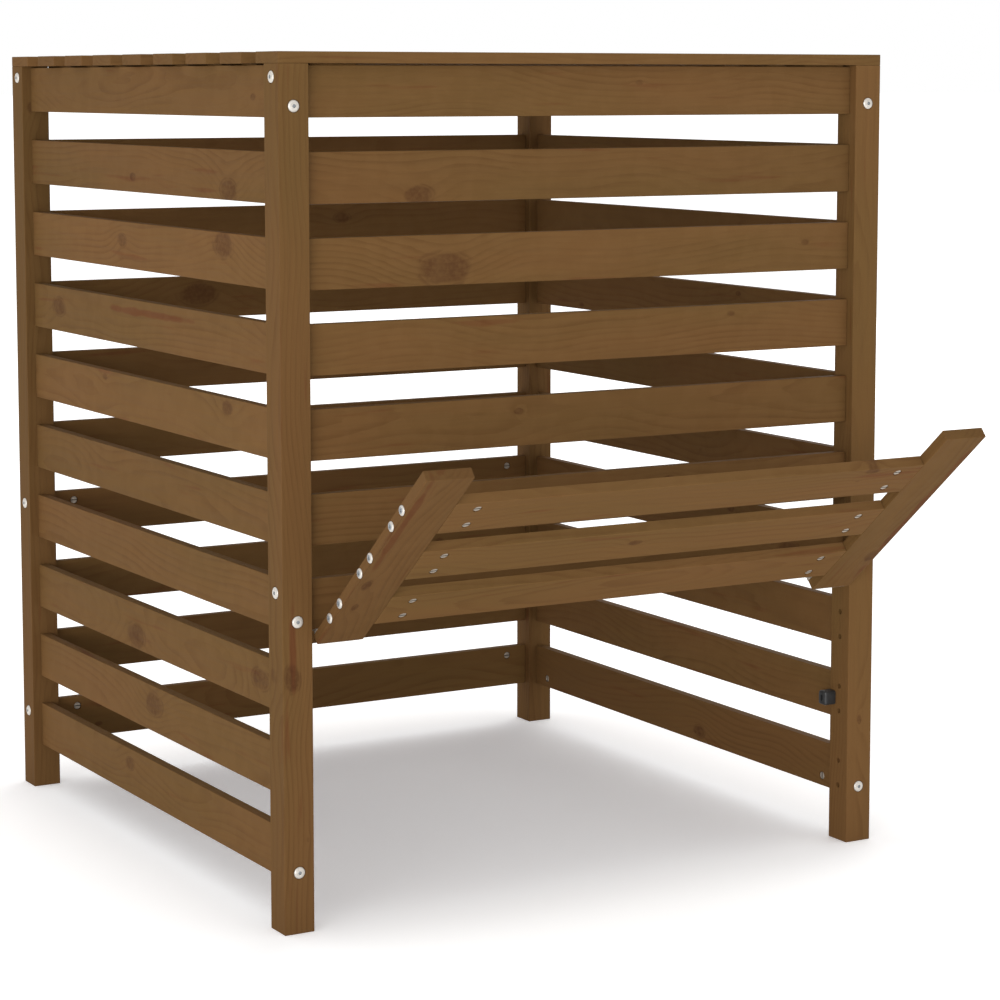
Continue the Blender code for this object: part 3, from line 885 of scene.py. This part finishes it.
# Painted light: the flap slats are made lighter, standing in for light on their faces that turn down to the
# front.
flap_painted_light = {0: 1.07, 1: 1.07, 2: 1.03}
flap_slats = boards(
    "flap_slats",
    "flap",
    flap_centres,
    (flap_slat_length, slat_thickness, slat_width),
    along=(1, 0, 0),
    inward=flap_inward,
    holes=flap_slat_holes,
    knots=flap_knots,
    tones_and_painted_light=flap_painted_light,
)
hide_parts("flap_left_upright", "flap_right_upright")
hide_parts("flap_slat_1", "flap_slat_2", "flap_slat_3")
flap_bolt_length = slat_width + nut_setback + bolt_past_nut
flap_bolt_sizes = {"Head Diameter": flap_head_diameter, "Shank Length": flap_bolt_length}
fasteners("flap_bolts", domed_bolts, bright_zinc, flap_bolt_places, flap_bolt_axes, "flap", flap_bolt_sizes)
nuts("flap_barrel_nuts", flap_nut_places, [flap_inward] * len(flap_nut_places), "flap")


# The hinges, butt hinges of zinc-plated sheet steel rolled about a pin. Each leaf is held
# by two countersunk screws with crossed recesses.

leaf_face = 0.0003
screw_line = 0.0105
screw_spacing = 0.030
lid_screw_spacing = 0.0156
lid_leaf_face = 0.0021
lid_fixed_screw_line = -0.01505
lid_moving_screw_line = 0.008125


def screw_tree():
    """A low screw head over its seat at Z = 0, with a crossed recess, and its shank."""
    head_fall = 0.30
    seat_overlap = 0.0001
    recess_depth = 0.001
    sizes = (
        ("Places", "Geometry", None),
        ("Head Diameter", "Float", 0.0054),
        ("Head Height", "Float", 0.00026),
        ("Shank Diameter", "Float", 0.0030),
        ("Shank Length", "Float", 0.010),
        ("Recess Width", "Float", 0.0008),
        ("Recess Length", "Float", 0.0026),
        ("Metal", "Material", None),
    )
    tree, given, out = open_tree("hinge_screws", "GeometryNodeTree", sizes, (("Screws", "Geometry"),))
    radius = calc(tree, "MULTIPLY", given["Head Diameter"], 0.5)
    head = rod(tree, radius, 0.0, given["Head Height"], sides=18, steps=2)
    at = add(tree, "GeometryNodeInputPosition").outputs[0]
    rise = calc(tree, "DIVIDE", split(tree, at)[2], given["Head Height"])
    narrow = calc(tree, "MULTIPLY_ADD", calc(tree, "POWER", rise, 2.0), -head_fall, 1.0)
    head = drawn(tree, head, at, narrow)
    shank_radius = calc(tree, "MULTIPLY", given["Shank Diameter"], 0.5)
    tip = calc(tree, "MULTIPLY", given["Shank Length"], -1.0)
    shank = rod(tree, shank_radius, tip, seat_overlap, sides=12)
    whole = joined(tree, head, shank, "UNION")
    length, width = given["Recess Length"], given["Recess Width"]
    for size in ((length, width), (width, length)):
        bar = {"Size": merge(tree, *size, 2 * recess_depth)}
        whole = joined(tree, whole, add(tree, "GeometryNodeMeshCube", bar).outputs["Mesh"], "DIFFERENCE")
    # The faces of the crossed recess, under the top of the head, are marked for painted shade.
    in_cross = inside_recess(tree, calc(tree, "MULTIPLY", length, 0.5), -1.05 * recess_depth)
    flat_top = calc(tree, "LESS_THAN", split(tree, at)[2], calc(tree, "MULTIPLY", given["Head Height"], 0.98))
    on_points(tree, given, whole, calc(tree, "MULTIPLY", in_cross, flat_top), out)
    return tree


hinge_screws = screw_tree()


def screws(name, places, axes, body, sizes=None):
    return fasteners(name, hinge_screws, bright_zinc, places, axes, body, sizes)


fixed_places, fixed_axes = [], []
flap_places, flap_axes = [], []
lid_places, lid_axes = [], []
lid_axis = joint_place("lid")
for side in ("left", "right"):
    low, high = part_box(f"flap_hinge_{side}_fixed_leaf")
    x = (low.x + high.x) / 2
    for step in (-screw_spacing / 2, screw_spacing / 2):
        fixed_places.append(flap_axis + Vector((x + step, screw_line, leaf_face)))
        fixed_axes.append((0, 0, -1))
        flap_places.append(on_flap(x + step, leaf_face, screw_line))
        flap_axes.append(-flap_down)
    low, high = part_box(f"lid_hinge_{side}_fixed_leaf")
    x = (low.x + high.x) / 2
    for step in (-lid_screw_spacing / 2, lid_screw_spacing / 2):
        fixed_places.append(lid_axis + Vector((x + step, -lid_leaf_face, lid_fixed_screw_line)))
        fixed_axes.append((0, 1, 0))
        lid_places.append(lid_axis + Vector((x + step, -lid_leaf_face, lid_moving_screw_line)))
        lid_axes.append((0, 1, 0))
screws("frame_hinge_screws", fixed_places, fixed_axes, "frame")
screws("flap_hinge_screws", flap_places, flap_axes, "flap")
screws("lid_hinge_screws", lid_places, lid_axes, "lid")
for name, node in frame["nodes"].items():
    if "_hinge_" in name:
        node.data.materials.clear()
        node.data.materials.append(plain_zinc)


# The catch, a small moulded block of black plastic, screwed to the right front post
# through a slot. The closed flap comes to rest against it.


def moulded_plastic(name, colour):
    """Matt moulded plastic with a fine grain on its faces."""
    material, tree, shader = new_material(name)
    own = add(tree, "ShaderNodeTexCoord").outputs["Object"]
    grain = noise(tree, own, 1400.0)["Fac"]
    cloud = noise(tree, own, 120.0, 3.0)["Fac"]
    lighter = tuple(part * 1.5 for part in colour)
    tree.links.new(blend(tree, ramp(tree, cloud, 0.35, 0.75), colour, lighter), shader.inputs["Base Color"])
    tree.links.new(ramp(tree, grain, 0.3, 0.7, 0.38, 0.55), shader.inputs["Roughness"])
    relief(tree, shader, grain, strength=0.25, depth=0.0001)
    return material


catch = frame["nodes"]["flap_catch"]
catch.data.materials.clear()
catch.data.materials.append(moulded_plastic("dark_moulded_plastic", (0.022, 0.023, 0.024)))
catch_seat = 0.0091
catch_screw_place = middle_of("flap_catch")
catch_screw_place.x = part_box("flap_catch")[0].x + catch_seat
catch_screw_sizes = {
    "Head Diameter": 0.0036,
    "Head Height": 0.0012,
    "Shank Diameter": 0.002,
    "Shank Length": 0.012,
    "Recess Width": 0.0006,
    "Recess Length": 0.002,
}
screws("catch_screw", [catch_screw_place], [(-1, 0, 0)], "frame", catch_screw_sizes)


# The lid, nine planks from side to side with gaps for the rain, on two battens that
# keep it in place between the walls. Screws go up through the battens into each plank.

lid_plank_count = 9
batten_inset = 0.046
batten_end_gap = 0.0145
batten_screw_step = 0.013
batten_screw_margin = 0.010
lid_low, lid_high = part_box("lid")
plank_pitch = (lid_high.y - lid_low.y - slat_width) / (lid_plank_count - 1)
plank_height = lid_high.z - slat_thickness / 2
plank_length = lid_high.x - lid_low.x
plank_centres = []
for number in range(lid_plank_count):
    plank_centres.append(Vector((0, lid_low.y + slat_width / 2 + plank_pitch * number, plank_height)))
batten_x = lid_high.x - batten_inset - slat_width / 2
batten_height = lid_low.z + slat_thickness / 2
batten_length = lid_high.y - lid_low.y - 2 * batten_end_gap
middle_y = (lid_low.y + lid_high.y) / 2
batten_centres = [Vector((side * batten_x, middle_y, batten_height)) for side in (-1, 1)]
plank_size = (plank_length, slat_thickness, slat_width)
batten_size = (batten_length, slat_thickness, slat_width)
planks = boards("lid_planks", "lid", plank_centres, plank_size, along=(1, 0, 0), inward=(0, 0, -1))
battens = boards("lid_battens", "lid", batten_centres, batten_size, along=(0, 1, 0), inward=(0, 0, -1))
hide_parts("lid")
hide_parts("lid")
batten_screw_reach = batten_length / 2 - batten_screw_margin
batten_screw_places = []
for centre in batten_centres:
    for plank in plank_centres:
        for step in (-batten_screw_step, batten_screw_step):
            y = max(-batten_screw_reach, min(batten_screw_reach, plank.y - middle_y + step))
            batten_screw_places.append(Vector((centre.x + step, middle_y + y, lid_low.z)))
batten_screw_axes = [(0, 0, -1)] * len(batten_screw_places)
batten_screw_sizes = {
    "Head Diameter": 0.0066,
    "Head Height": 0.0004,
    "Shank Length": 0.020,
    "Recess Length": 0.0036,
    "Recess Width": 0.001,
}
screws("lid_batten_screws", batten_screw_places, batten_screw_axes, "lid", batten_screw_sizes)


# A plain pale floor that glows, a little dim under the bin as a painted shadow, a broad
# soft light low in front on the left, a weaker one behind on the right, and an even sky.

light_aim = Vector((0, 0, 0.5))
light_colour = (1.0, 0.98, 0.95)


def lit(name, place, width, height, power):
    """A broad soft light at a place, turned to the middle of the bin."""
    data = bpy.data.lights.new(name, "AREA")
    data.shape = "RECTANGLE"
    data.size, data.size_y = width, height
    data.energy = power
    data.color = light_colour
    item = bpy.data.objects.new(name, data)
    item.location = place
    item.rotation_euler = (light_aim - Vector(place)).to_track_quat("-Z", "Y").to_euler()
    bpy.context.scene.collection.objects.link(item)


lit("key_light", place=(-5.6, -5.5, 1.1), width=5.0, height=2.0, power=255)
lit("fill_light", place=(6.0, 4.6, 2.4), width=6.0, height=3.0, power=120)

floor_size = 400
painted_shadow_half_width = 0.30
painted_shadow_fade_half_width = 0.60
white = (1.0, 1.0, 1.0)
bpy.ops.mesh.primitive_plane_add(size=floor_size, location=(0, 0, 0))
floor = bpy.context.object
floor.name = "studio_floor"
floor_material, floor_tree, floor_shader = new_material("pale_floor")
floor_shader.inputs["Roughness"].default_value = 0.9
floor_shader.inputs["Specular IOR Level"].default_value = 0.0
floor_shader.inputs["Emission Strength"].default_value = 1.0
floor_seen = add(floor_tree, "ShaderNodeLightPath").outputs["Is Camera Ray"]
bin_middle = tuple(sum(post_centres.values(), Vector()) / len(post_centres))
floor_place = add(floor_tree, "ShaderNodeTexCoord").outputs["Object"]
# Painted shadow: within a square about the bin the floor's colour and glow are dimmer, both as seen and as
# light thrown back onto the bin.
from_bin = vector_calc(floor_tree, "SUBTRACT", floor_place, bin_middle)
ways = split(floor_tree, vector_calc(floor_tree, "ABSOLUTE", from_bin))
farther = calc(floor_tree, "MAXIMUM", ways[0], ways[1])
outside_painted_shadow = ramp(floor_tree, farther, painted_shadow_half_width, painted_shadow_fade_half_width)
bounced = blend(floor_tree, outside_painted_shadow, (0.36, 0.36, 0.36), (0.76, 0.76, 0.76))
shown = blend(floor_tree, floor_seen, bounced, white)
floor_tree.links.new(shown, floor_shader.inputs["Base Color"])
glow = blend(floor_tree, outside_painted_shadow, (0.10, 0.10, 0.10), (0.39, 0.39, 0.39))
glow_seen = blend(floor_tree, outside_painted_shadow, (0.19, 0.19, 0.20), (0.46, 0.46, 0.46))
floor_tree.links.new(blend(floor_tree, floor_seen, glow, glow_seen), floor_shader.inputs["Emission Color"])
floor.data.materials.append(floor_material)

world = bpy.data.worlds.new("soft_sky")
world.use_nodes = True
sky = world.node_tree
background = sky.nodes["Background"]
way_up = split(sky, add(sky, "ShaderNodeTexCoord").outputs["Generated"])[2]
sky_seen = add(sky, "ShaderNodeLightPath").outputs["Is Camera Ray"]
dimming = blend(sky, ramp(sky, way_up, 0.0, 0.8), (0.52, 0.52, 0.52), (0.84, 0.84, 0.84))
sky.links.new(blend(sky, sky_seen, dimming, white), background.inputs["Color"])
bpy.context.scene.world = world
bpy.context.scene.view_settings.view_transform = "Standard"
